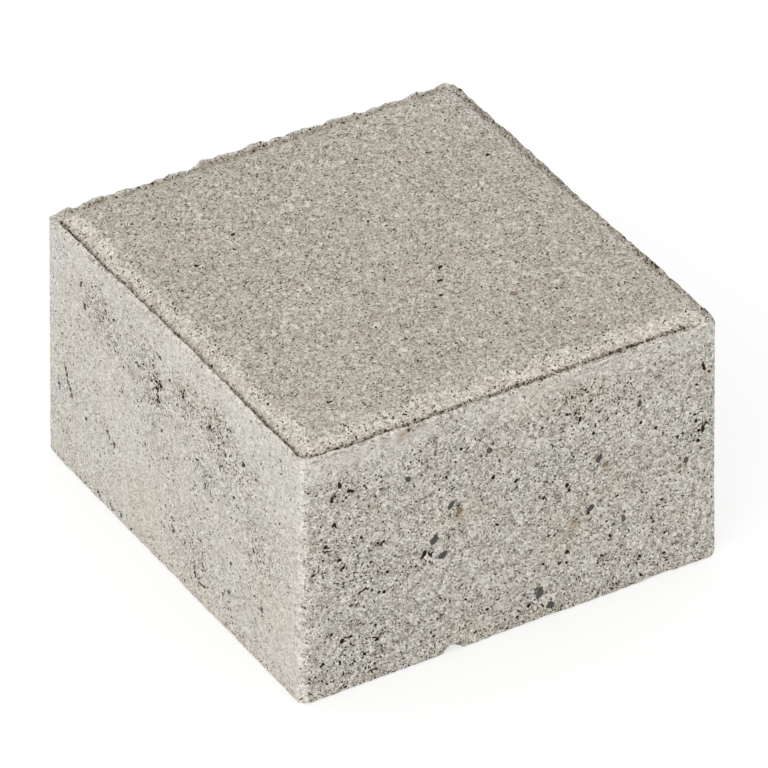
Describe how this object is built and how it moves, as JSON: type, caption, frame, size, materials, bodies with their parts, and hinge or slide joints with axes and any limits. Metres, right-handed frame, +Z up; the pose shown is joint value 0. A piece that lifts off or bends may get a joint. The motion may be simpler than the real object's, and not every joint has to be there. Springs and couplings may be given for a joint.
{
  "type": "concrete paving stone",
  "caption": "Square pressed-concrete paving stone with a bevelled wearing face inside a thin cast rim, bedded on sand and butted to others to pave a yard or path.",
  "frame": {"origin": "middle of the foot, the flat face that lies on the bed", "axes": "+Z up through the wearing face, -Y out of the front face with the chipped lower edge, +X along the front face"},
  "size_m": [0.0984, 0.1036, 0.061],
  "materials": {
    "concrete": "matte, pressed concrete with fine sand grain and open pores"
  },
  "bodies": {
    "root": {"paving_stone": "concrete"}
  },
  "joints": []
}
